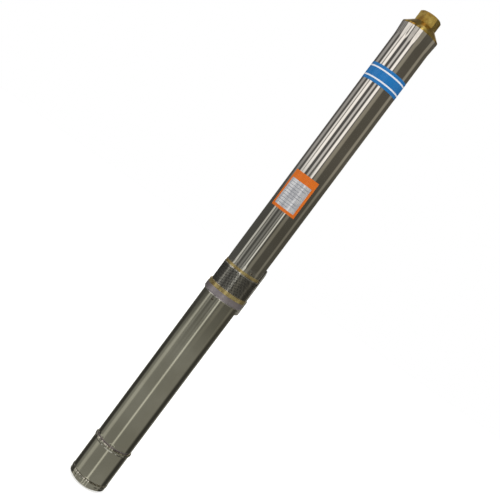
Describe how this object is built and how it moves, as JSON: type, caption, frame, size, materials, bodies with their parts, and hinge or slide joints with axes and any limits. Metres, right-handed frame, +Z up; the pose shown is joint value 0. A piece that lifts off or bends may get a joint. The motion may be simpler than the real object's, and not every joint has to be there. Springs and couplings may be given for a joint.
{
  "type": "submersible pump",
  "caption": "slim submersible borehole pump: stainless motor with a deep end cap, brass suction bracket with a perforated strainer, polished pump sleeve and brass hexagonal outlet",
  "frame": {"origin": "centre of the end cap's bottom face, on the pump's axis", "axes": "x through the cable guard, z up along the pump towards the outlet"},
  "size_m": [0.1012, 0.1, 1.313],
  "materials": {
    "motor_steel": "satin",
    "sleeve_steel": "polished",
    "brass": "satin",
    "iron": "satin",
    "shaft_steel": "polished",
    "lamination": "satin",
    "copper": "varnished",
    "carbon": "matte",
    "rubber": "matte",
    "stage_plastic": "matte",
    "impeller_plastic": "satin",
    "valve_plastic": "satin",
    "socket_plastic": "matte"
  },
  "bodies": {
    "pump_body": {"end_cap": "motor_steel", "motor_tube": "motor_steel", "thrust_housing": "iron", "lower_bearing_bracket": "iron", "motor_top_bracket": "iron", "pressure_diaphragm": "rubber", "thrust_pads": "carbon", "lower_bearing_bush": "carbon", "upper_bearing_bush": "carbon", "stator_core": "lamination", "stator_windings": "copper", "seal_seat": "carbon", "motor_studs": "shaft_steel", "lead_socket": "socket_plastic", "inlet_bracket": "brass", "strainer": "sleeve_steel", "cable_guard": "motor_steel", "pump_sleeve": "sleeve_steel", "top_bearing_spider": "stage_plastic", "top_bearing_bush": "rubber", "discharge_head": "brass", "check_valve_guide": "brass", "check_valve_spring": "shaft_steel", "retaining_ring": "shaft_steel", "stage_bowl_01": "stage_plastic", "stage_bowl_02": "stage_plastic", "stage_bowl_03": "stage_plastic", "stage_bowl_04": "stage_plastic", "stage_bowl_05": "stage_plastic", "stage_bowl_06": "stage_plastic"},
    "rotor": {"motor_shaft": "shaft_steel", "thrust_disc": "carbon", "rotor_core": "lamination", "seal_ring": "carbon", "sand_slinger": "rubber", "shaft_coupling": "shaft_steel", "pump_shaft": "shaft_steel", "impeller_01": "impeller_plastic", "impeller_02": "impeller_plastic", "impeller_03": "impeller_plastic", "impeller_04": "impeller_plastic", "impeller_05": "impeller_plastic", "impeller_06": "impeller_plastic"},
    "check_valve": {"check_valve_disc": "valve_plastic"}
  },
  "joints": [
    {"name": "rotor_spin", "type": "hinge", "parent": "pump_body", "child": "rotor", "pos_m": [0, 0, 0], "axis": [0, 0, 1], "continuous": true},
    {"name": "check_valve_lift", "type": "slide", "parent": "pump_body", "child": "check_valve", "axis": [0, 0, 1], "range_m": [0, 0.009], "stiffness_N_per_m": 150, "deforming": ["check_valve_spring"]}
  ]
}
